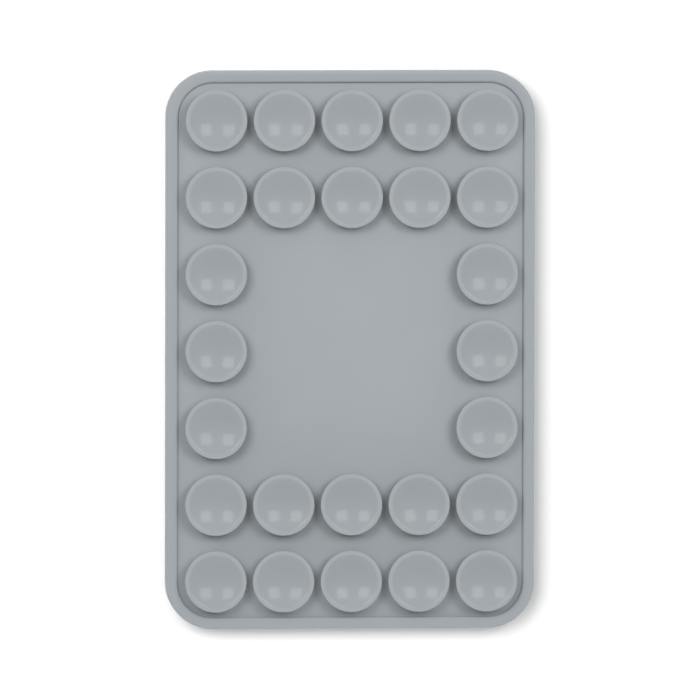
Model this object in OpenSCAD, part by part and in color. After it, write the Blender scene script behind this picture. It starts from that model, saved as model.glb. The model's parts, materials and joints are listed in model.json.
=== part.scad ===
// Suction mount that holds a phone by its back: a soft frame with a raised rim, and inset in it
// a mat of flexing suction cups round a bare middle. Under the mat a stiff plate carries the
// ring of magnets that the phone's back snaps to, and a soft pad closes the back.
// +Z is the side with the cups, +Y the top edge, and z = 0 the flat back. Lengths are in mm.

/* [Frame] */
// Width of the frame
body_w = 67; // [64:1:80]
// Length of the frame
body_l = 101.4; // [97:0.1:115]
// Outer radius of the frame's corners
corner_r = 8.4; // [7:0.1:11]
// Width of the rim round the mat
rim_w = 2.15; // [1.7:0.05:2.8]
// Height of the rim above the mat's sheet
rim_rise = 0.5; // [0.3:0.05:1.2]
// Rounding of the rim's edges
edge_r = 0.5; // [0.2:0.05:0.8]
// Depth of the groove in the frame that grips the plate's edge
groove_depth = 0.7; // [0.4:0.05:1.1]
// How far the frame's back lip reaches in under the plate, past the rim
lip_reach = 1; // [0.5:0.1:1.5]

/* [Mat and layers] */
// Thickness of the mat's sheet
mat_t = 0.8; // [0.5:0.1:1.4]
// Thickness of the soft pad on the back
pad_t = 0.6; // [0.4:0.1:1.2]
// Thickness of each adhesive film
film_t = 0.15; // [0.1:0.05:0.3]
// How far each adhesive film stays back from the edge of the sheet it holds
film_inset = 0.6; // [0.3:0.1:1.5]

/* [Suction cups] */
// Cups across the width
columns = 5; // [5:1:5]
// Cups along the length
rows = 7; // [7:1:7]
// Columns left out in the bare middle
bare_columns = 3; // [1:2:3]
// Rows left out in the bare middle
bare_rows = 3; // [1:2:5]
// Space between neighbouring cups of a row
cup_space = 1.125; // [0.8:0.005:1.8]
// Space between the outermost cups and the mat's side edges
side_margin = 1.05; // [0.8:0.01:1.8]
// Space between the outermost cups and the mat's end edges
end_margin = 1; // [0.7:0.01:1.8]
// Height of a cup above the mat's sheet
cup_h = 3; // [2.8:0.1:4]
// Width of the flat land on a cup's lip
lip_land = 0.7; // [0.4:0.05:1]
// Height of the upright band round a cup's lip
lip_band = 0.45; // [0.2:0.05:0.7]
// Depth of a cup's dish below its lip
dish_depth = 1.3; // [0.8:0.05:1.5]
// Diameter of the neck that a cup stands on
neck_d = 5.2; // [4.2:0.1:6.2]
// Width of the ring where a cup's skirt meets its neck
root_w = 0.5; // [0.3:0.05:0.9]
// How far a cup's lip comes down when it is pressed flat
press_travel = 0.7; // [0.4:0.05:0.9]

/* [Magnets] */
// Distance of the ring of magnets from the plate's side edges
ring_edge = 5; // [3.5:0.1:6]
// Distance of the ring from the plate's top edge, which keeps the frame clear of a camera
ring_top = 7; // [5:0.5:9]
// Width of the ring of magnets
ring_band = 4; // [3:0.1:5]
// Number of arc magnets in the ring
arc_count = 18; // [12:1:24]
// Gap between neighbouring arc magnets
arc_gap = 0.4; // [0.2:0.1:1]
// Thickness of the magnets
magnet_t = 1.4; // [1:0.1:2]
// Thickness of the steel ring behind the magnets
shunt_t = 0.35; // [0.2:0.05:0.6]
// Plate that is left over the magnets' pocket
roof_t = 0.5; // [0.3:0.1:1]
// Width of the alignment magnet
bar_w = 16; // [12:0.5:20]
// Length of the alignment magnet along the body
bar_l = 6; // [4:0.5:8]
// Distance from the ring to the alignment magnet
bar_off = 4; // [3:0.5:6]

/* [Fits] */
// Gap between the mat's edge and the rim
mat_gap = 0.05; // [0.02:0.01:0.2]
// Gap between the pad's edge and the frame's back lip
pad_gap = 0.2; // [0.1:0.05:0.4]
// Gap between the plate's edge and the bottom of the groove
plate_gap = 0.05; // [0.02:0.01:0.1]
// Gap round and over the magnets in their pockets
pocket_gap = 0.05; // [0.02:0.01:0.1]
// Gap between a cup's skirt and its neck
skirt_gap = 0.1; // [0.05:0.01:0.15]
// Height that is left under a skirt when its cup is pressed flat
press_left = 0.15; // [0.1:0.05:0.3]

/* [Hidden] */
silicone = [0.65, 0.67, 0.69];
plate_colour = [0.22, 0.23, 0.25];
magnet_colour = [0.74, 0.75, 0.77];
steel_colour = [0.56, 0.57, 0.6];
film_colour = [0.9, 0.89, 0.84];
pad_colour = [0.47, 0.49, 0.52];
arc_steps = 6;
// How far a cut runs past the face that it opens
overrun = 1;
$fn = 96;

// Heights of the layers, from the back up
plate_z = pad_t + film_t;
plate_t = magnet_t + shunt_t + pocket_gap + roof_t;
plate_top = plate_z + plate_t;
mat_z = plate_top + film_t;
mat_top = mat_z + mat_t;
rim_top = mat_top + rim_rise;
lip_top = mat_top + cup_h;

// How far each sheet's edge lies in from the frame's outer wall
mat_in = rim_w + mat_gap;
plate_in = rim_w - groove_depth + plate_gap;
back_lip_in = rim_w + lip_reach;
pad_in = back_lip_in + pad_gap;

// The grid of cups, which are as wide as the closer of its two pitches lets them be
grid_w = body_w - 2 * (mat_in + side_margin);
grid_l = body_l - 2 * (mat_in + end_margin);
widest_across = (grid_w - (columns - 1) * cup_space) / columns;
widest_along = (grid_l - (rows - 1) * cup_space) / rows;
cup_d = min(widest_across, widest_along);
pitch_x = (grid_w - cup_d) / (columns - 1);
pitch_y = (grid_l - cup_d) / (rows - 1);
middle_column = (columns + 1) / 2;
middle_row = (rows + 1) / 2;

// A cup's dish is part of a ball
dish_r = cup_d / 2 - lip_land;
ball_r = (dish_r * dish_r + dish_depth * dish_depth) / (2 * dish_depth);
dish_floor = mat_top + cup_h - dish_depth;
neck_r = neck_d / 2;
skirt_low = mat_top + press_travel + press_left;

// The ring of magnets
ring_r = body_w / 2 - plate_in - ring_edge;
hole_r = ring_r - ring_band;
ring_up = body_l / 2 - plate_in - ring_top - ring_r;
arc_share = 360 / arc_count;
arc_gap_angle = arc_gap / (ring_r + hole_r) * 2 * 180 / PI;
bar_y = ring_up - ring_r - bar_off - bar_l / 2;

function cup_name(row, column) = str("suction_cup_r", row, "c", column);
function has_cup(row, column) =
    abs(row - middle_row) > (bare_rows - 1) / 2 || abs(column - middle_column) > (bare_columns - 1) / 2;
function cup_x(column) = (column - middle_column) * pitch_x;
function cup_y(row) = (middle_row - row) * pitch_y;

CUPS = [for (row = [1 : rows]) for (column = [1 : columns]) if (has_cup(row, column)) [row, column]];

// Points of a round stretch of an outline, from one angle to another
function arc(x, z, r, from, to) = [
    for (i = [0 : arc_steps])
        let (a = from + (to - from) * i / arc_steps)
        [x + r * cos(a), z + r * sin(a)]
];

// The frame's section, with x outward from a corner's centre: the rounded outer wall and rim,
// the groove round the plate's edge and the lip under it
frame_section = concat(
    arc(corner_r - edge_r, edge_r, edge_r, -90, 0),
    arc(corner_r - edge_r, rim_top - edge_r, edge_r, 0, 90),
    arc(corner_r - rim_w + edge_r, rim_top - edge_r, edge_r, 90, 180),
    [
        [corner_r - rim_w, plate_top],
        [corner_r - rim_w + groove_depth, plate_top],
        [corner_r - rim_w + groove_depth, plate_z],
        [corner_r - back_lip_in, plate_z],
        [corner_r - back_lip_in, 0]
    ]
);

// One straight stretch of the frame, on the side that faces +X
module frame_side(length, out) {
    translate([out, length / 2, 0])
        rotate([90, 0, 0])
            linear_extrude(length)
                polygon(frame_section);
}

// A flat sheet that follows the frame's outline, with its edge this far in
module sheet(inset, z, thickness) {
    w = body_w - 2 * inset;
    l = body_l - 2 * inset;
    r = corner_r - inset;
    translate([0, 0, z])
        linear_extrude(thickness)
            union() {
                square([w - 2 * r, l], center = true);
                square([w, l - 2 * r], center = true);
                for (sx = [-1, 1], sy = [-1, 1])
                    translate([sx * (w / 2 - r), sy * (l / 2 - r)])
                        circle(r = r);
            }
}

// A flat ring with a square section
module flat_ring(inner_r, outer_r, z, thickness) {
    translate([0, ring_up, z])
        difference() {
            cylinder(h = thickness, r = outer_r);
            translate([0, 0, -overrun])
                cylinder(h = thickness + 2 * overrun, r = inner_r);
        }
}

// The ball that hollows a cup's dish
module dish_ball() {
    translate([0, 0, dish_floor + ball_r])
        sphere(r = ball_r);
}

module outer_frame() {
    straight_w = body_w - 2 * corner_r;
    straight_l = body_l - 2 * corner_r;
    color(silicone) {
        for (corner = [[1, 1, 0], [-1, 1, 90], [-1, -1, 180], [1, -1, 270]])
            translate([corner[0] * straight_w / 2, corner[1] * straight_l / 2, 0])
                rotate([0, 0, corner[2]])
                    rotate_extrude(angle = 90)
                        polygon(frame_section);
        for (turn = [0, 180]) {
            rotate([0, 0, turn])
                frame_side(straight_l, straight_w / 2);
            rotate([0, 0, turn + 90])
                frame_side(straight_w, straight_l / 2);
        }
    }
}

// The sheet with the necks that the cups stand on, moulded in one
module suction_mat() {
    color(silicone) {
        sheet(mat_in, mat_z, mat_t);
        for (cup = CUPS)
            translate([cup_x(cup[1]), cup_y(cup[0]), 0])
                difference() {
                    translate([0, 0, mat_z])
                        cylinder(h = lip_top - mat_z, r = neck_r);
                    dish_ball();
                }
    }
}

// The part of a cup that gives when it is pressed: the skirt round the neck and its lip
module suction_cup(row, column) {
    cup_r = cup_d / 2;
    band_z = lip_top - lip_band;
    color(silicone)
        translate([cup_x(column), cup_y(row), 0])
            difference() {
                union() {
                    translate([0, 0, skirt_low])
                        cylinder(h = band_z - skirt_low, r1 = neck_r + skirt_gap + root_w, r2 = cup_r);
                    translate([0, 0, band_z])
                        cylinder(h = lip_band, r = cup_r);
                }
                dish_ball();
                translate([0, 0, mat_top])
                    cylinder(h = cup_h, r = neck_r + skirt_gap);
            }
}

module mat_adhesive() {
    color(film_colour)
        sheet(mat_in + film_inset, plate_top, film_t);
}

// The stiff plate, with a pocket from below for the ring of magnets and one for the bar
module magnet_carrier() {
    pocket_t = magnet_t + shunt_t + pocket_gap;
    color(plate_colour)
        difference() {
            sheet(plate_in, plate_z, plate_t);
            flat_ring(hole_r - pocket_gap, ring_r + pocket_gap, plate_z - overrun, pocket_t + overrun);
            translate([0, bar_y, plate_z + (magnet_t + pocket_gap - overrun) / 2])
                cube([bar_w + 2 * pocket_gap, bar_l + 2 * pocket_gap, magnet_t + pocket_gap + overrun],
                    center = true);
        }
}

module magnet_ring() {
    color(magnet_colour)
        translate([0, ring_up, plate_z])
            for (i = [0 : arc_count - 1])
                rotate([0, 0, i * arc_share])
                    rotate_extrude(angle = arc_share - arc_gap_angle)
                        translate([hole_r, 0])
                            square([ring_r - hole_r, magnet_t]);
}

module alignment_magnet() {
    color(magnet_colour)
        translate([0, bar_y, plate_z + magnet_t / 2])
            cube([bar_w, bar_l, magnet_t], center = true);
}

module shunt_ring() {
    color(steel_colour)
        flat_ring(hole_r, ring_r, plate_z + magnet_t, shunt_t);
}

module pad_adhesive() {
    color(film_colour)
        sheet(pad_in + film_inset, pad_t, film_t);
}

module grip_pad() {
    color(pad_colour)
        sheet(pad_in, 0, pad_t);
}

outer_frame();
suction_mat();
mat_adhesive();
magnet_carrier();
magnet_ring();
alignment_magnet();
shunt_ring();
pad_adhesive();
grip_pad();
for (cup = CUPS)
    suction_cup(cup[0], cup[1]);
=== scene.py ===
"""A suction mount for the back of a phone: a soft frame, an inset mat and its suction cups.

The frame, the mat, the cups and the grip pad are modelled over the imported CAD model, and the
stiff plate, the magnets, the steel ring and the adhesive films keep their CAD shapes.
"""

import json
import math
from typing import NamedTuple

import bmesh
import bpy
from mathutils import Matrix, Vector

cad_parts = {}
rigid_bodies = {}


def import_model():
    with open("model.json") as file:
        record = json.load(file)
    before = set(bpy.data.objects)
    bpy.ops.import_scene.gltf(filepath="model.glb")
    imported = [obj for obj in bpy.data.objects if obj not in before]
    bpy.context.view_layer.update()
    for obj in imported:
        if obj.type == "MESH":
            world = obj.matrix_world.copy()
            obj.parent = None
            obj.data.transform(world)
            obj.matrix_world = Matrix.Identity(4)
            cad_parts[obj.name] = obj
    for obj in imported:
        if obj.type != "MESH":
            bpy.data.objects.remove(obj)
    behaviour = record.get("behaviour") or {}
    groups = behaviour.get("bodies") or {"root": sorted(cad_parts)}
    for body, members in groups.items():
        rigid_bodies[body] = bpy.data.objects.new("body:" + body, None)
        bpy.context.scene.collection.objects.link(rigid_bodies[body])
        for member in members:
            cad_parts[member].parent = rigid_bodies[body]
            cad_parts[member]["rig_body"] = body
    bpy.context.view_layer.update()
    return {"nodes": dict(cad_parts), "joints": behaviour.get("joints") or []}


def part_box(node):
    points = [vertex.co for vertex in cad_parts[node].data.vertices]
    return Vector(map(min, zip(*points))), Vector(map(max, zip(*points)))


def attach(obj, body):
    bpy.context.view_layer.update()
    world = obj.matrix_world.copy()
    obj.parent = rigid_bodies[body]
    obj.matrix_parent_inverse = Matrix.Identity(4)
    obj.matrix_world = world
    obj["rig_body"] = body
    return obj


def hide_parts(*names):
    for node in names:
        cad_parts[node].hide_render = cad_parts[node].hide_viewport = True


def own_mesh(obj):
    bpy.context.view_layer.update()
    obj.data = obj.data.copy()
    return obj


bl_info = {
    "name": "Suction phone mount",
    "version": (1, 0, 0),
    "blender": (4, 5, 0),
    "location": "View3D > Sidebar > Phone mount",
    "description": "Models a magnetic phone mount with a mat of suction cups",
    "category": "Add Mesh",
}

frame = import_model()

MM = 0.001
BODY = "mount_body"
CUP_PREFIX = "suction_cup_"
CUPS = sorted(n for n in frame["nodes"] if n.startswith(CUP_PREFIX))
JOINTS = {j["child"]: j for j in frame["joints"]}
BODY_OF = {n: o["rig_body"] for n, o in frame["nodes"].items()}

# Tolerance for picking points and edges by their place
NEAR = 0.002 * MM

# Edges that turn by less than this, in degrees, are shaded smooth
SHEET_CREASE = 32
CUP_CREASE = 40
MARK_CREASE = 30

# Steps of the frame's and the sheets' round corners, and of the frame's rounded edges
CORNER_STEPS = 24
EDGE_STEPS = 8

# Points round a cup, and steps of its dish, of its skirt and of its lip's and foot's roundings
CUP_POINTS = 72
DISH_STEPS = 14
SKIRT_STEPS = 10
ROUND_STEPS = 5

# Points round the round mark in the pad
MARK_POINTS = 128

# Refractive index of silicone
SILICONE_IOR = 1.43

# The picture's width in pixels, the floor's width and the furthest that the camera sees
PICTURE_PX = 700
FLOOR_WIDTH = 6.0
VIEW_DEPTH = 20.0
WHITE = (1.0, 1.0, 1.0, 1.0)
BACKGROUND_RAYS = ("Is Camera Ray", "Is Glossy Ray", "Is Transmission Ray")


def length(name, description, value):
    """A property for a length, in metres."""
    return bpy.props.FloatProperty(
        name=name, description=description, default=value, min=0, unit="LENGTH", subtype="DISTANCE"
    )


def colour(name, description, value):
    """A property for a colour, as linear values."""
    return bpy.props.FloatVectorProperty(
        name=name, description=description, default=value, size=3, min=0, max=1, subtype="COLOR"
    )


def share(name, description, value, most=1.0):
    """A property for a number without a unit."""
    return bpy.props.FloatProperty(name=name, description=description, default=value, min=0, max=most)


def slope(name, description, value):
    """A property for a direction, as slopes along X and Y."""
    return bpy.props.FloatVectorProperty(name=name, description=description, default=value, size=2)


def angle(name, description, value):
    """A property for an angle."""
    return bpy.props.FloatProperty(
        name=name, description=description, default=value, min=0, unit="ROTATION", subtype="ANGLE"
    )


class Silicone(NamedTuple):
    """How one of the silicone pieces is finished."""

    tone: float
    gloss: float
    haze: float
    rough: float
    relief: float


# Tone against the silicone's colour, weight and haze of the thin gloss, roughness, and relief of the
# grain. A tone below 1 is painted shade.
SILICONES = {
    "soft_frame": Silicone(1.0, 0.1, 0.3, 0.5, 0.006 * MM),
    "soft_mat": Silicone(1.0, 0.1, 0.35, 0.52, 0.006 * MM),
    "soft_cup": Silicone(1.0, 0.15, 0.2, 0.48, 0.004 * MM),
    # The dish is the cup's own silicone, glossier, with its colour darkened as painted shade for the shade
    # in its hollow
    "glossy_dish": Silicone(0.93, 0.22, 0.04, 0.45, 0.001 * MM),
}


class MountFrameSizes(bpy.types.PropertyGroup):
    """Sizes of the soft frame that its CAD box doesn't give."""

    corner: length("Corner", "Outer radius of the frame's corners", 8.4 * MM)
    rim: length("Rim", "Width of the rim round the mat", 2.15 * MM)
    edge: length("Edge", "Rounding of the rim's edges", 0.5 * MM)
    groove: length("Groove", "Depth of the groove round the plate's edge", 0.7 * MM)
    lip: length("Lip", "Reach of the back lip under the plate, past the rim", 1.0 * MM)


class MountMatSizes(bpy.types.PropertyGroup):
    """Sizes of the mat's sheet."""

    thickness: length("Thickness", "Thickness of the sheet", 0.8 * MM)
    joint: length("Joint", "Width of the joint between the sheet and the rim's sides", 0.01 * MM)
    top_joint: length("Top joint", "Width of the joint at the top, where the sheet sits low", 0.03 * MM)
    bottom_joint: length("Bottom joint", "Width of the joint at the bottom", 0.002 * MM)
    edge: length("Edge", "Rounding of the sheet's upper edge", 0.015 * MM)


class MountCupSizes(bpy.types.PropertyGroup):
    """Shape of one suction cup. Its place, width and lip come from its CAD node."""

    depth: length("Dish depth", "Depth of the dish below the lip", 1.3 * MM)
    land: length("Lip land", "Width of the flat land on the lip", 0.7 * MM)
    lip_round: length("Lip rounding", "Rounding of the lip's outer edge", 0.15 * MM)
    band: length("Lip band", "Height of the upright band round the lip", 0.5 * MM)
    neck: length("Neck", "Radius of the neck", 2.6 * MM)
    waist: share("Waist", "Height of the neck's top, as a share of the cup's height", 0.4)
    foot: length("Foot", "Fillet between the neck and the sheet", 0.35 * MM)
    sunk: length("Sunk", "How far the neck's foot reaches into the sheet", 0.1 * MM)


class MountPadSizes(bpy.types.PropertyGroup):
    """Sizes of the marks pressed into the grip pad."""

    edge: length("Edge", "Rounding of the pad's edge", 0.2 * MM)
    mark: length("Mark", "Depth of the marks over the magnets", 0.12 * MM)
    mark_width: length("Mark width", "Width of the marks over the magnets", 0.5 * MM)


class MountColours(bpy.types.PropertyGroup):
    """Colours of the silicone and the pad, as linear values."""

    silicone: colour(
        "Silicone", "Cool grey silicone of the frame, the mat and the cups", (0.362, 0.39, 0.412)
    )
    pad: colour("Pad", "Darker grey of the grip pad", (0.17, 0.18, 0.195))
    plate: colour("Plate", "Dark moulded plastic of the stiff plate", (0.04, 0.042, 0.046))


class MountStage(bpy.types.PropertyGroup):
    """Camera and light."""

    scale: share("Scale", "Pixels per millimetre at the rim's height", 5.51, 100)
    distance: length("Distance", "Distance of the camera", 3.0)
    aim: slope("Aim", "Point on the mat that the camera looks at", (-0.13 * MM, 0.04 * MM))
    lean_left: share("Lean left", "How far the camera stands to the left, as a slope", 0.08)
    lean_up: share("Lean up", "How far the camera stands towards the top, as a slope", 0.07)
    roll: angle("Roll", "Turn of the camera about its own axis", math.radians(0.12))
    right_radiance: share("Right softbox light", "Radiance of the right softbox", 5.1, 100)
    left_radiance: share("Left softbox light", "Radiance of the left softbox", 5.05, 100)
    box_size: length("Softbox size", "Width of a softbox", 0.48)
    box_distance: length("Softbox distance", "Distance of the softboxes", 1.2)
    box_right: slope("Right softbox", "Direction of the right softbox, as slopes", (0.46, 0.35))
    box_left: slope("Left softbox", "Direction of the left softbox, as slopes", (-0.46, 0.37))
    sun_strength: share("Floor light", "Light on the floor alone", 1.07, 100)
    sun_slope: slope("Floor light slope", "Direction of the floor's light, as slopes", (-1.1, 0.45))
    sun_angle: angle("Floor light angle", "Apparent size of the floor's light", math.radians(90))
    floor_albedo: share("Floor", "Paleness of the floor as the camera sees it", 0.72)
    floor_bounce: share("Floor bounce", "How much light the floor returns to the object", 0.42)
    fill_sides: share("Side fill", "Radiance of the surroundings to the left and right", 0.39, 100)
    fill_top: share("Top fill", "Radiance of the surroundings past the object's top", 0.6, 100)
    fill_front: share("Front fill", "Radiance low down past the object's bottom", 3.6, 100)
    fill_overhead: share("Overhead fill", "Radiance straight overhead", 0.98, 100)
    overhead_spread: share("Overhead spread", "How narrow the overhead light is, as a power", 20.0, 100)


class Socket:
    """A shader socket. Arithmetic on it adds Math nodes."""

    def __init__(self, graph, socket):
        self.graph = graph
        self.socket = socket

    def math(self, operation, *others):
        """A Math node on this socket and the others."""
        values = dict(enumerate((self, *others)))
        return self.graph.add("ShaderNodeMath", {"operation": operation}, values)

    def __add__(self, other):
        return self.math("ADD", other)

    def __radd__(self, other):
        return self + other

    def __sub__(self, other):
        return self.math("SUBTRACT", other)

    def __rsub__(self, other):
        return self * -1 + other

    def __mul__(self, other):
        return self.math("MULTIPLY", other)

    def __rmul__(self, other):
        return self * other


class Graph:
    """The nodes of one material or of the world."""

    def __init__(self, owner):
        owner.use_nodes = True
        self.tree = owner.node_tree
        self.tree.nodes.clear()

    def add(self, kind, settings=None, values=None, out=0):
        """A node of this kind, with its settings made first and then its sockets' values or links."""
        node = self.tree.nodes.new(kind)
        for name, value in (settings or {}).items():
            setattr(node, name, value)
        for name, value in (values or {}).items():
            if isinstance(value, Socket):
                self.tree.links.new(value.socket, node.inputs[name])
            else:
                node.inputs[name].default_value = value
        return Socket(self, node.outputs[out]) if node.outputs else node

    def place(self):
        """Object coordinates."""
        return self.add("ShaderNodeTexCoord", out="Object")

    def noise(self, per_metre, detail=2.0, vector=None):
        """Noise from 0 to 1 with this many features a metre."""
        values = {"Vector": vector or self.place(), "Scale": per_metre, "Detail": detail}
        return self.add("ShaderNodeTexNoise", values=values)

    def mix(self, factor, first, second):
        """A colour between two."""
        settings = {"data_type": "RGBA", "clamp_factor": True}
        return self.add("ShaderNodeMix", settings, {0: factor, 6: first, 7: second}, out=2)

    def bump(self, height, depth):
        """A normal from a height of 0 to 1 times this depth in metres."""
        return self.add("ShaderNodeBump", values={"Height": height, "Distance": depth, "Strength": 1.0})

    def seen(self):
        """1 for rays that show the background: the camera's, and those that gloss and glass send on."""
        rays = [self.add("ShaderNodeLightPath", out=kind) for kind in BACKGROUND_RAYS]
        return rays[0].math("MAXIMUM", rays[1]).math("MAXIMUM", rays[2])

    def surface(self, shader):
        """Ends the material in this shader."""
        self.add("ShaderNodeOutputMaterial", values={"Surface": shader})


def material(name):
    """A new material and its graph."""
    made = bpy.data.materials.new(name)
    return made, Graph(made)


def shade(rgb, factor):
    """A colour made lighter or darker, with alpha."""
    return (*(min(1.0, c * factor) for c in rgb), 1.0)


def silicone_material(name, rgb):
    """Satin silicone: a cloudy tone, a fine moulded grain and a thin gloss. A tone below 1 darkens the
    colour as painted shade.
    """
    finish = SILICONES[name]
    # A tone below 1, as on the dish, darkens the colour: painted shade
    rgb = shade(rgb, finish.tone)[:3]
    made, g = material(name)
    cloud = g.noise(per_metre=140, detail=3.0)
    grain = g.noise(per_metre=5200, detail=2.0)
    g.surface(g.add("ShaderNodeBsdfPrincipled", values={
        "Base Color": g.mix(cloud, shade(rgb, 0.97), shade(rgb, 1.03)),
        "Roughness": finish.rough + (grain - 0.5) * 0.08,
        "Normal": g.bump(grain * 0.8 + cloud * 0.6, finish.relief),
        "Coat Weight": finish.gloss,
        "Coat Roughness": finish.haze,
        "Specular IOR Level": 0.25,
        "IOR": SILICONE_IOR,
    }))
    return made


def pad_material(name, rgb):
    """Matte soft-touch pad with a fine pebbled face."""
    made, g = material(name)
    cloud = g.noise(per_metre=90, detail=3.0)
    pebble = g.add("ShaderNodeTexVoronoi", values={"Vector": g.place(), "Scale": 2600.0})
    base = g.mix(cloud * 0.6 + pebble * 0.4, shade(rgb, 0.9), shade(rgb, 1.1))
    g.surface(g.add("ShaderNodeBsdfPrincipled", values={
        "Base Color": base,
        "Roughness": 0.62 + cloud * 0.1,
        "Normal": g.bump(pebble, 0.02 * MM),
        "IOR": SILICONE_IOR,
    }))
    return made


def plastic_material(name, rgb):
    """Fine matte moulded plastic."""
    made, g = material(name)
    grain = g.noise(per_metre=3800, detail=2.0)
    g.surface(g.add("ShaderNodeBsdfPrincipled", values={
        "Base Color": g.mix(grain, shade(rgb, 0.85), shade(rgb, 1.15)),
        "Roughness": 0.5 + grain * 0.15,
        "Normal": g.bump(grain, 0.01 * MM),
    }))
    return made


def metal_material(name, rgb, rough, along):
    """Plated or stamped metal with fine scratches one way."""
    made, g = material(name)
    stretched = g.add("ShaderNodeMapping", values={"Vector": g.place(), "Scale": along})
    scratch = g.noise(per_metre=2400, detail=3.0, vector=stretched)
    g.surface(g.add("ShaderNodeBsdfPrincipled", values={
        "Base Color": g.mix(scratch, shade(rgb, 0.88), shade(rgb, 1.06)),
        "Metallic": 1.0,
        "Roughness": rough + scratch * 0.15,
        "Normal": g.bump(scratch, 0.004 * MM),
    }))
    return made


def film_material(name):
    """Milky adhesive film with trapped air marks."""
    made, g = material(name)
    marks = g.noise(per_metre=420, detail=4.0)
    g.surface(g.add("ShaderNodeBsdfPrincipled", values={
        "Base Color": g.mix(marks, (0.62, 0.6, 0.52, 1.0), (0.8, 0.79, 0.72, 1.0)),
        "Roughness": 0.25 + marks * 0.3,
        "Normal": g.bump(marks, 0.01 * MM),
    }))
    return made


def deselect():
    """Leaves nothing selected."""
    bpy.ops.object.select_all(action="DESELECT")


def started(name):
    """Names the primitive that was just added, bakes its place into its mesh and opens it in edit mode."""
    obj = bpy.context.object
    obj.name = name
    obj.data.name = name
    bpy.ops.object.transform_apply(location=True, rotation=True, scale=True)
    bpy.ops.object.mode_set(mode="EDIT")
    return obj


def pick(obj, kind, test):
    """Selects the points, edges or faces whose points all pass the test, in edit mode."""
    bpy.ops.mesh.select_mode(type=kind)
    bpy.ops.mesh.select_all(action="DESELECT")
    bm = bmesh.from_edit_mesh(obj.data)
    items = {"VERT": bm.verts, "EDGE": bm.edges, "FACE": bm.faces}[kind]
    for item in items:
        points = [item] if kind == "VERT" else item.verts
        if all(test(p.co) for p in points):
            item.select = True
    bm.select_flush_mode()
    bmesh.update_edit_mesh(obj.data)


def finished(obj, angle):
    """Closes edit mode with points merged and faces outward, and shades the mesh smooth."""
    bpy.ops.mesh.select_mode(type="VERT")
    bpy.ops.mesh.select_all(action="SELECT")
    bpy.ops.mesh.remove_doubles(threshold=NEAR / 2)
    bpy.ops.mesh.normals_make_consistent(inside=False)
    bpy.ops.object.mode_set(mode="OBJECT")
    bpy.ops.object.shade_smooth_by_angle(angle=math.radians(angle))
    return obj


def paint(obj, *materials):
    """Gives a piece its materials."""
    obj.data.materials.clear()
    for made in materials:
        obj.data.materials.append(made)


def facing(direction):
    """The turn of a camera or lamp that looks back along this direction, with +Y up in its picture."""
    side = Vector((0, 1, 0)).cross(direction).normalized()
    return Matrix((side, direction.cross(side), direction)).transposed().to_euler()


def rounded_sheet(name, half_w, half_l, corner, low, high):
    """A closed sheet with round corners, left open in edit mode."""
    deselect()
    bpy.ops.mesh.primitive_plane_add(size=1, location=(0, 0, low))
    bpy.context.object.scale = (2 * half_w, 2 * half_l, 1)
    obj = started(name)
    bpy.ops.mesh.select_all(action="SELECT")
    bpy.ops.mesh.bevel(offset=corner, segments=CORNER_STEPS, affect="VERTICES")
    bpy.ops.mesh.select_all(action="SELECT")
    bpy.ops.mesh.extrude_region_move(TRANSFORM_OT_translate={"value": (0, 0, high - low)})
    return obj


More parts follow.
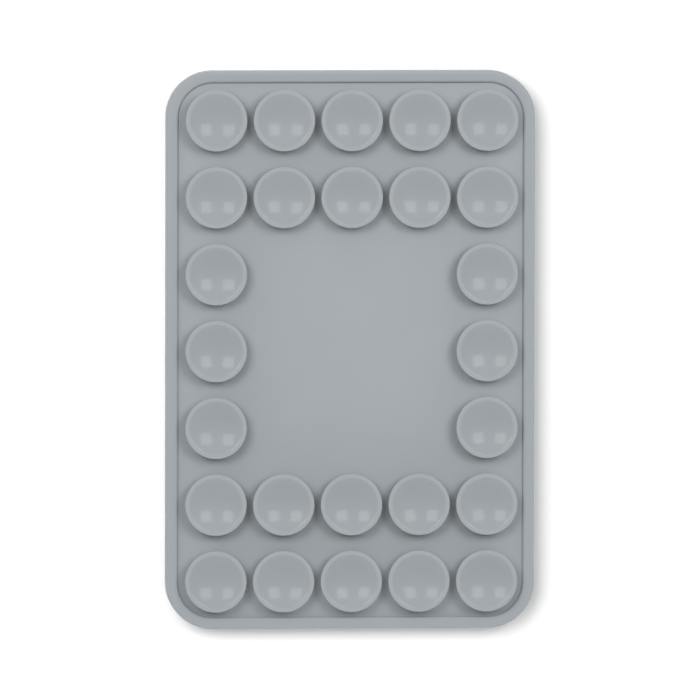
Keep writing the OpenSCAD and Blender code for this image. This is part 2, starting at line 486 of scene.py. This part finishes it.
class PHONEMOUNT_OT_frame(bpy.types.Operator):
    """Model the soft frame: its section is drawn once and led round the four sides and corners"""

    bl_idname = "phonemount.frame"
    bl_label = "Soft frame"

    def section(self, obj, sizes, outer_x, levels):
        """Shapes the plane into the frame's section, in edit mode."""
        plate_low, plate_high, rim_top = levels
        for level in (plate_low, plate_high):
            bpy.ops.mesh.select_all(action="SELECT")
            bpy.ops.mesh.bisect(plane_co=(0, 0, level), plane_no=(0, 0, 1))
        inner_x = outer_x - sizes.rim + sizes.groove

        def inner(low, high):
            return lambda p: abs(p.x - inner_x) < NEAR and low - NEAR < p.z < high + NEAR

        pick(obj, "EDGE", inner(plate_high, rim_top))
        bpy.ops.mesh.extrude_edges_move(TRANSFORM_OT_translate={"value": (-sizes.groove, 0, 0)})
        pick(obj, "EDGE", inner(0, plate_low))
        bpy.ops.mesh.extrude_edges_move(
            TRANSFORM_OT_translate={"value": (-sizes.groove - sizes.lip, 0, 0)}
        )
        bpy.ops.mesh.select_mode(type="FACE")
        bpy.ops.mesh.select_all(action="SELECT")
        bpy.ops.mesh.dissolve_faces(use_verts=True)
        rim_x = outer_x - sizes.rim
        rounded = ((outer_x, 0), (outer_x, rim_top), (rim_x, rim_top))
        pick(obj, "VERT", lambda p: any(
            abs(p.x - x) < NEAR and abs(p.z - z) < NEAR for x, z in rounded
        ))
        bpy.ops.mesh.bevel(offset=sizes.edge, segments=EDGE_STEPS, affect="VERTICES")
        bpy.ops.mesh.select_mode(type="FACE")
        bpy.ops.mesh.select_all(action="SELECT")
        bpy.ops.mesh.delete(type="ONLY_FACE")

    def execute(self, context):
        sizes = context.scene.mount_frame
        low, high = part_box("outer_frame")
        plate_low, plate_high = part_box("magnet_carrier")
        outer_x = high.x
        inner_x = outer_x - sizes.rim + sizes.groove
        straight_x = high.x - sizes.corner
        straight_y = high.y - sizes.corner
        deselect()
        bpy.ops.mesh.primitive_plane_add(
            size=1,
            location=((outer_x + inner_x) / 2, -straight_y, (low.z + high.z) / 2),
            rotation=(math.pi / 2, 0, 0),
        )
        bpy.context.object.scale = (outer_x - inner_x, high.z - low.z, 1)
        obj = started("outer_frame_soft")
        self.section(obj, sizes, outer_x, (plate_low.z, plate_high.z, high.z))
        bpy.ops.mesh.select_mode(type="EDGE")
        bpy.ops.mesh.select_all(action="SELECT")
        runs = (
            ((0, 2 * straight_y, 0), (straight_x, straight_y)),
            ((-2 * straight_x, 0, 0), (-straight_x, straight_y)),
            ((0, -2 * straight_y, 0), (-straight_x, -straight_y)),
            ((2 * straight_x, 0, 0), (straight_x, -straight_y)),
        )
        for run, centre in runs:
            bpy.ops.mesh.extrude_edges_move(TRANSFORM_OT_translate={"value": run})
            bpy.ops.mesh.spin(
                steps=CORNER_STEPS, angle=-math.pi / 2, center=(*centre, 0), axis=(0, 0, 1), dupli=False
            )
        finished(obj, SHEET_CREASE)
        paint(obj, bpy.data.materials["soft_frame"])
        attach(obj, BODY)
        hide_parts("outer_frame")
        return {"FINISHED"}


class PHONEMOUNT_OT_mat(bpy.types.Operator):
    """Model the mat's sheet, inset in the frame"""

    bl_idname = "phonemount.mat"
    bl_label = "Mat"

    def execute(self, context):
        sizes = context.scene.mount_mat
        rim = context.scene.mount_frame.rim
        corner = context.scene.mount_frame.corner
        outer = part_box("outer_frame")[1]
        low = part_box("suction_mat")[0].z
        inset = rim + sizes.joint
        top = low + sizes.thickness
        shift = (sizes.top_joint - sizes.bottom_joint) / 2
        half_l = outer.y - rim - (sizes.top_joint + sizes.bottom_joint) / 2
        obj = rounded_sheet("suction_mat_sheet", outer.x - inset, half_l, corner - inset, low, top)
        bpy.ops.mesh.select_all(action="SELECT")
        bpy.ops.transform.translate(value=(0, -shift, 0))
        pick(obj, "EDGE", lambda p: abs(p.z - top) < NEAR)
        bpy.ops.mesh.bevel(offset=sizes.edge, segments=2, affect="EDGES")
        finished(obj, SHEET_CREASE)
        paint(obj, bpy.data.materials["soft_mat"])
        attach(obj, BODY)
        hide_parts("suction_mat")
        return {"FINISHED"}


class PHONEMOUNT_OT_cups(bpy.types.Operator):
    """Model one suction cup as a turned shape, and copy it to each cup's place"""

    bl_idname = "phonemount.cups"
    bl_label = "Suction cups"

    def rings(self, sizes, radius, height):
        """Radius and height of each ring, from the dish's floor out over the lip and down to the sheet."""
        dish_r = radius - sizes.land
        ball = (dish_r ** 2 + sizes.depth ** 2) / (2 * sizes.depth)
        reach = math.asin(dish_r / ball)
        floor = height - sizes.depth
        for i in range(2, DISH_STEPS + 1):
            a = reach * i / DISH_STEPS
            yield ball * math.sin(a), floor + ball * (1 - math.cos(a))
        edge = sizes.lip_round
        yield dish_r + sizes.land * 0.1, height
        yield radius - edge * 1.2, height
        for i in range(ROUND_STEPS + 1):
            a = math.pi / 2 * i / ROUND_STEPS
            yield radius - edge + edge * math.sin(a), height - edge + edge * math.cos(a)
        band_low = height - sizes.band
        yield radius, band_low
        waist = height * sizes.waist
        for i in range(1, SKIRT_STEPS + 1):
            a = math.pi / 2 * i / SKIRT_STEPS
            yield (
                sizes.neck + (radius - sizes.neck) * math.cos(a),
                band_low - (band_low - waist) * math.sin(a),
            )
        for i in range(ROUND_STEPS + 1):
            a = math.pi / 2 * i / ROUND_STEPS
            yield (
                sizes.neck + sizes.foot * (1 - math.cos(a)),
                sizes.foot * (1 - math.sin(a)),
            )
        yield sizes.neck + sizes.foot, -sizes.sunk

    def cup(self, sizes, radius, height):
        """One cup on the origin, standing on z = 0."""
        rings = list(self.rings(sizes, radius, height))
        floor = height - sizes.depth
        first = rings[0][0] / 2
        deselect()
        bpy.ops.mesh.primitive_circle_add(
            vertices=CUP_POINTS, radius=first, fill_type="TRIFAN", location=(0, 0, floor)
        )
        obj = started("cup_pattern")
        pick(obj, "VERT", lambda p: Vector((p.x, p.y)).length > first / 2)
        bpy.ops.mesh.select_mode(type="EDGE")
        r, z = first, floor
        for next_r, next_z in rings:
            bpy.ops.mesh.extrude_edges_move(TRANSFORM_OT_translate={"value": (0, 0, next_z - z)})
            grow = next_r / r
            bpy.ops.transform.resize(value=(grow, grow, 1), center_override=(0, 0, next_z))
            r, z = next_r, next_z
        bpy.ops.mesh.edge_face_add()
        finished(obj, CUP_CREASE)
        paint(obj, bpy.data.materials["soft_cup"], bpy.data.materials["glossy_dish"])
        # The dish's faces take the darker dish material, whose darker colour is painted shade
        dish_r = radius - sizes.land
        for face in obj.data.polygons:
            centre = Vector(face.center)
            inside = Vector((centre.x, centre.y)).length < dish_r and centre.z > floor - NEAR
            face.material_index = 1 if inside and face.normal.z > 0 else 0
        return obj

    def execute(self, context):
        sizes = context.scene.mount_cups
        sheet_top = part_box("suction_mat")[0].z + context.scene.mount_mat.thickness
        low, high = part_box(CUPS[0])
        height = high.z - sheet_top
        pattern = self.cup(sizes, (high.x - low.x) / 2, height)
        for node in CUPS:
            low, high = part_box(node)
            obj = bpy.data.objects.new(node + "_soft", pattern.data.copy())
            context.scene.collection.objects.link(obj)
            place = Vector(((low.x + high.x) / 2, (low.y + high.y) / 2, sheet_top))
            obj.data.transform(Matrix.Translation(place))
            joint = JOINTS[BODY_OF[node]]
            travel = joint["range_m"][1]
            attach(obj, BODY)
            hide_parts(node)
            1 - travel / height
            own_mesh(obj)
        bpy.data.objects.remove(pattern)
        return {"FINISHED"}


class PHONEMOUNT_OT_pad(bpy.types.Operator):
    """Model the grip pad on the back, with marks pressed in over the magnets"""

    bl_idname = "phonemount.pad"
    bl_label = "Grip pad"

    def groove(self, name, low, high, width, round_mark):
        """A thin closed band inside the outline of a magnet, to be cut out of the pad."""
        centre = (low + high) / 2
        depth = bpy.context.scene.mount_pad.mark
        deselect()
        if round_mark:
            bpy.ops.mesh.primitive_cylinder_add(
                vertices=MARK_POINTS, radius=high.x, depth=2 * depth, location=(centre.x, centre.y, 0)
            )
        else:
            bpy.ops.mesh.primitive_cube_add(size=1, location=(centre.x, centre.y, 0))
            bpy.context.object.scale = (high.x - low.x, high.y - low.y, 2 * depth)
        obj = started(name)
        pick(obj, "FACE", lambda p: abs(p.z - depth) < NEAR)
        bpy.ops.mesh.inset(thickness=width, depth=0)
        bpy.ops.mesh.delete(type="FACE")
        pick(obj, "FACE", lambda p: abs(p.z + depth) < NEAR)
        bpy.ops.mesh.inset(thickness=width, depth=0)
        bpy.ops.mesh.delete(type="FACE")
        bm = bmesh.from_edit_mesh(obj.data)
        for edge in bm.edges:
            edge.select = edge.is_boundary
        bmesh.update_edit_mesh(obj.data)
        bpy.ops.mesh.bridge_edge_loops()
        return finished(obj, MARK_CREASE)

    def execute(self, context):
        sizes = context.scene.mount_pad
        low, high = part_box("grip_pad")
        frame_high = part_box("outer_frame")[1]
        corner = context.scene.mount_frame.corner - (frame_high.x - high.x)
        obj = rounded_sheet("grip_pad_soft", high.x, high.y, corner, low.z, high.z)
        pick(obj, "EDGE", lambda p: abs(p.z - low.z) < NEAR)
        bpy.ops.mesh.bevel(offset=sizes.edge, segments=4, affect="EDGES")
        finished(obj, SHEET_CREASE)
        for node, round_mark in (("magnet_ring", True), ("alignment_magnet", False)):
            box_low, box_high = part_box(node)
            cutter = self.groove(node + "_mark", box_low, box_high, sizes.mark_width, round_mark)
            modifier = obj.modifiers.new("mark", "BOOLEAN")
            modifier.operation = "DIFFERENCE"
            modifier.solver = "EXACT"
            modifier.object = cutter
            deselect()
            obj.select_set(True)
            context.view_layer.objects.active = obj
            bpy.ops.object.modifier_apply(modifier=modifier.name)
            bpy.data.objects.remove(cutter)
        bpy.ops.object.shade_smooth_by_angle(angle=math.radians(SHEET_CREASE))
        paint(obj, bpy.data.materials["soft_pad"])
        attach(obj, BODY)
        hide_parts("grip_pad")
        return {"FINISHED"}


class PHONEMOUNT_OT_finishes(bpy.types.Operator):
    """Make the materials, and finish the pieces that keep their CAD shape"""

    bl_idname = "phonemount.finishes"
    bl_label = "Finishes"

    def execute(self, context):
        colours = context.scene.mount_colours
        for name in SILICONES:
            silicone_material(name, tuple(colours.silicone))
        pad_material("soft_pad", tuple(colours.pad))
        plastic = plastic_material("plate_plastic", tuple(colours.plate))
        nickel = metal_material("nickel_plating", (0.66, 0.65, 0.63), 0.22, (1.0, 1.0, 6.0))
        steel = metal_material("stamped_steel", (0.5, 0.5, 0.51), 0.38, (8.0, 1.0, 1.0))
        film = film_material("milky_film")
        finish_of = {
            "magnet_carrier": plastic,
            "magnet_ring": nickel,
            "alignment_magnet": nickel,
            "shunt_ring": steel,
            "mat_adhesive": film,
            "pad_adhesive": film,
        }
        for node, made in finish_of.items():
            paint(frame["nodes"][node], made)
        return {"FINISHED"}


class PHONEMOUNT_OT_stage(bpy.types.Operator):
    """Set up the floor, the light and the camera"""

    bl_idname = "phonemount.stage"
    bl_label = "Stage"

    def softbox(self, name, aim, slope, radiance):
        """A square softbox that faces the object from a direction given as a slope."""
        stage = bpy.context.scene.mount_stage
        direction = Vector((*slope, 1)).normalized()
        deselect()
        bpy.ops.object.light_add(type="AREA", location=aim + direction * stage.box_distance)
        obj = bpy.context.object
        obj.name = name
        obj.data.shape = "SQUARE"
        obj.data.size = stage.box_size
        # An area lamp's radiance is four times less than its power over its area
        obj.data.energy = radiance * 4 * stage.box_size ** 2
        obj.rotation_euler = facing(direction)

    def execute(self, context):
        scene = context.scene
        stage = scene.mount_stage
        aim = Vector((*stage.aim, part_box("outer_frame")[1].z))

        self.softbox("softbox_right", aim, stage.box_right, stage.right_radiance)
        self.softbox("softbox_left", aim, stage.box_left, stage.left_radiance)

        deselect()
        bpy.ops.mesh.primitive_plane_add(size=FLOOR_WIDTH, location=(0, 0, 0))
        floor = context.object
        floor.name = "floor"
        made, g = material("white_floor")
        pale = (*(stage.floor_albedo,) * 3, 1.0)
        plain = (*(stage.floor_bounce,) * 3, 1.0)
        colour_of_floor = g.mix(g.seen(), plain, pale)
        g.surface(g.add("ShaderNodeBsdfDiffuse", values={"Color": colour_of_floor}))
        paint(floor, made)

        # A broad sun that only the floor receives, which whitens it and keeps the object's shadow
        direction = Vector((*stage.sun_slope, 1)).normalized()
        deselect()
        bpy.ops.object.light_add(type="SUN", location=direction)
        sun = context.object
        sun.name = "floor_sun"
        sun.data.energy = stage.sun_strength * math.pi
        sun.data.angle = stage.sun_angle
        sun.rotation_euler = facing(direction)
        floor_only = bpy.data.collections.new("floor_only")
        floor_only.objects.link(floor)
        sun.light_linking.receiver_collection = floor_only

        world = bpy.data.worlds.new("studio")
        scene.world = world
        g = Graph(world)
        way = g.add("ShaderNodeTexCoord", out="Generated")
        x, y, z = (g.add("ShaderNodeSeparateXYZ", values={"Vector": way}, out=axis) for axis in "XYZ")
        low = (1 - z * 2).math("MAXIMUM", 0.0)
        glow = (
            x.math("ABSOLUTE") * stage.fill_sides
            + y.math("MAXIMUM", 0.0) * stage.fill_top
            + (y * -1).math("MAXIMUM", 0.0) * low * stage.fill_front
            + z.math("MAXIMUM", 0.0).math("POWER", stage.overhead_spread) * stage.fill_overhead
        )
        fill = g.add("ShaderNodeBackground", values={"Color": WHITE, "Strength": glow})
        white = g.add("ShaderNodeBackground", values={"Color": WHITE, "Strength": 1.0})
        mixed = g.add("ShaderNodeMixShader", values={0: g.seen(), 1: fill, 2: white})
        g.add("ShaderNodeOutputWorld", values={"Surface": mixed})

        direction = Vector((-stage.lean_left, stage.lean_up, 1)).normalized()
        deselect()
        bpy.ops.object.camera_add(location=aim + direction * stage.distance)
        camera = context.object
        camera.name = "camera"
        camera.rotation_euler = facing(direction)
        camera.rotation_euler.rotate_axis("Z", stage.roll)
        width = PICTURE_PX / stage.scale * MM
        camera.data.lens = camera.data.sensor_width * stage.distance / width
        camera.data.clip_end = VIEW_DEPTH
        scene.camera = camera
        scene.view_settings.view_transform = "Standard"
        return {"FINISHED"}


class PHONEMOUNT_PT_panel(bpy.types.Panel):
    """Lists the steps that build the mount"""

    bl_label = "Phone mount"
    bl_idname = "PHONEMOUNT_PT_panel"
    bl_space_type = "VIEW_3D"
    bl_region_type = "UI"
    bl_category = "Phone mount"

    def draw(self, context):
        for operator in OPERATORS:
            self.layout.operator(operator.bl_idname)


GROUPS = {
    "mount_frame": MountFrameSizes,
    "mount_mat": MountMatSizes,
    "mount_cups": MountCupSizes,
    "mount_pad": MountPadSizes,
    "mount_colours": MountColours,
    "mount_stage": MountStage,
}
OPERATORS = (
    PHONEMOUNT_OT_finishes,
    PHONEMOUNT_OT_frame,
    PHONEMOUNT_OT_mat,
    PHONEMOUNT_OT_cups,
    PHONEMOUNT_OT_pad,
    PHONEMOUNT_OT_stage,
)


def register():
    """Registers the classes and hangs the property groups on the scene."""
    for cls in (*GROUPS.values(), *OPERATORS, PHONEMOUNT_PT_panel):
        bpy.utils.register_class(cls)
    for name, cls in GROUPS.items():
        setattr(bpy.types.Scene, name, bpy.props.PointerProperty(type=cls))


def unregister():
    """Takes the property groups off the scene and unregisters the classes."""
    for name in GROUPS:
        delattr(bpy.types.Scene, name)
    for cls in (PHONEMOUNT_PT_panel, *reversed(OPERATORS), *reversed(tuple(GROUPS.values()))):
        bpy.utils.unregister_class(cls)


def main():
    """Builds the whole scene."""
    register()
    for operator in OPERATORS:
        group, name = operator.bl_idname.split(".")
        getattr(getattr(bpy.ops, group), name)()


if __name__ == "__main__":
    main()
